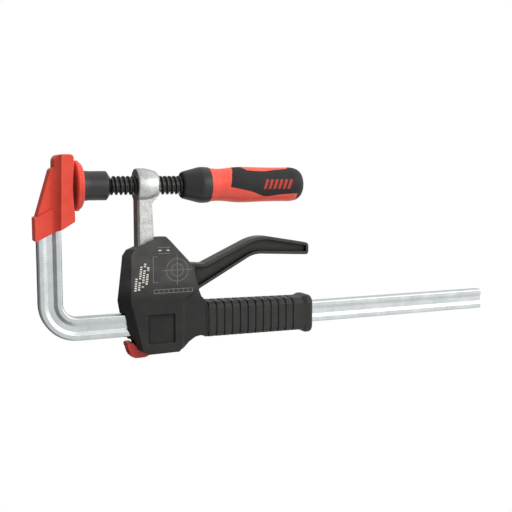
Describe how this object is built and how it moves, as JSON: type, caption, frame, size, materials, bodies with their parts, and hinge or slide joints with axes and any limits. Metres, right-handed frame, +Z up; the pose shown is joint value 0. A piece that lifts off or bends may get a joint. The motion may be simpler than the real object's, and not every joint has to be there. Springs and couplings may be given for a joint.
{
  "type": "quick release bar clamp",
  "caption": "One-handed bar clamp: bent profile rail with fixed jaw, lever-driven sliding arm, screw spindle with swivel pad.",
  "frame": {"origin": "centre of the fixed jaw's pressure face, where the spindle axis meets it", "axes": "+X along the rail to its free end and out of the fixed jaw's pressure face, +Z up from the rail to the spindle, +Y completing the frame"},
  "size_m": [0.4423, 0.0412, 0.171],
  "materials": {
    "zinc_rail": "bright zinc plated, drawn profile",
    "zinc_forging": "zinc plated over a rough forged skin",
    "bare_steel": "plain machined steel",
    "spring_steel": "drawn spring wire",
    "black_steel": "blackened and oiled",
    "red_plastic": "moulded, satin",
    "dark_red_plastic": "moulded, satin",
    "black_plastic": "glass filled, fine grained",
    "soft_black": "soft moulded grip"
  },
  "bodies": {
    "fixed_frame": {"profile_rail": "zinc_rail", "jaw_plate": "bare_steel", "jaw_cap": "red_plastic"},
    "carriage": {"sliding_arm": "zinc_forging", "housing_front": "black_plastic", "housing_rear": "black_plastic", "housing_screws": "bare_steel", "grip": "soft_black", "trigger_pin": "bare_steel", "drive_spring": "spring_steel", "brake_spring": "spring_steel"},
    "trigger": {"trigger_lever": "black_plastic", "drive_pin": "bare_steel"},
    "drive": {"drive_plate_left": "bare_steel", "drive_plate_right": "bare_steel"},
    "brake": {"brake_plate": "bare_steel"},
    "release": {"release_bar": "dark_red_plastic"},
    "screw_seat": {"ball_cup": "bare_steel"},
    "screw": {"spindle": "black_steel", "handle_pin": "bare_steel", "handle_nose": "black_plastic", "handle_core": "red_plastic", "handle_panels": "soft_black"},
    "pad_yoke": {"retaining_ring": "bare_steel"},
    "pad": {"pressure_plate": "bare_steel", "pad_cap": "red_plastic", "swivel_sleeve": "black_plastic"}
  },
  "joints": [
    {"name": "carriage_slide", "type": "slide", "parent": "fixed_frame", "child": "carriage", "axis": [1, 0, 0], "range_m": [0, 0.275]},
    {"name": "trigger_pull", "type": "hinge", "parent": "carriage", "child": "trigger", "pos_m": [0.097, 0, -0.095], "axis": [0, 1, 0], "range_deg": [0, 17], "stiffness_Nm_per_rad": 1.5, "springref_deg": -11.46},
    {"name": "drive_feed", "type": "slide", "parent": "carriage", "child": "drive", "axis": [1, 0, 0], "range_m": [0, 0.004], "deforming": ["drive_spring"]},
    {"name": "release_press", "type": "slide", "parent": "carriage", "child": "release", "axis": [1, 0, 0], "range_m": [0, 0.0035], "stiffness_N_per_m": 1500, "springref_m": -0.002},
    {"name": "brake_tilt", "type": "hinge", "parent": "carriage", "child": "brake", "pos_m": [0.07, 0, -0.1005], "axis": [0, -1, 0], "range_deg": [0, 5], "deforming": ["brake_spring"]},
    {"name": "screw_travel", "type": "slide", "parent": "carriage", "child": "screw_seat", "axis": [1, 0, 0], "range_m": [0, 0.02]},
    {"name": "spindle_turn", "type": "hinge", "parent": "screw_seat", "child": "screw", "pos_m": [0.014, 0, 0], "axis": [1, 0, 0], "range_deg": [0, 1800]},
    {"name": "pad_tilt_y", "type": "hinge", "parent": "screw_seat", "child": "pad_yoke", "pos_m": [0.014, 0, 0], "axis": [0, 1, 0], "range_deg": [-4, 4]},
    {"name": "pad_tilt_z", "type": "hinge", "parent": "pad_yoke", "child": "pad", "pos_m": [0.014, 0, 0], "axis": [0, 0, 1], "range_deg": [-4, 4]}
  ],
  "couplings": [
    {"joint": "drive_feed", "follows": "trigger_pull", "m_per_rad": 0.01335},
    {"joint": "brake_tilt", "follows": "release_press", "rad_per_m": 24.9},
    {"joint": "screw_travel", "follows": "spindle_turn", "m_per_rad": 0.00063662}
  ]
}
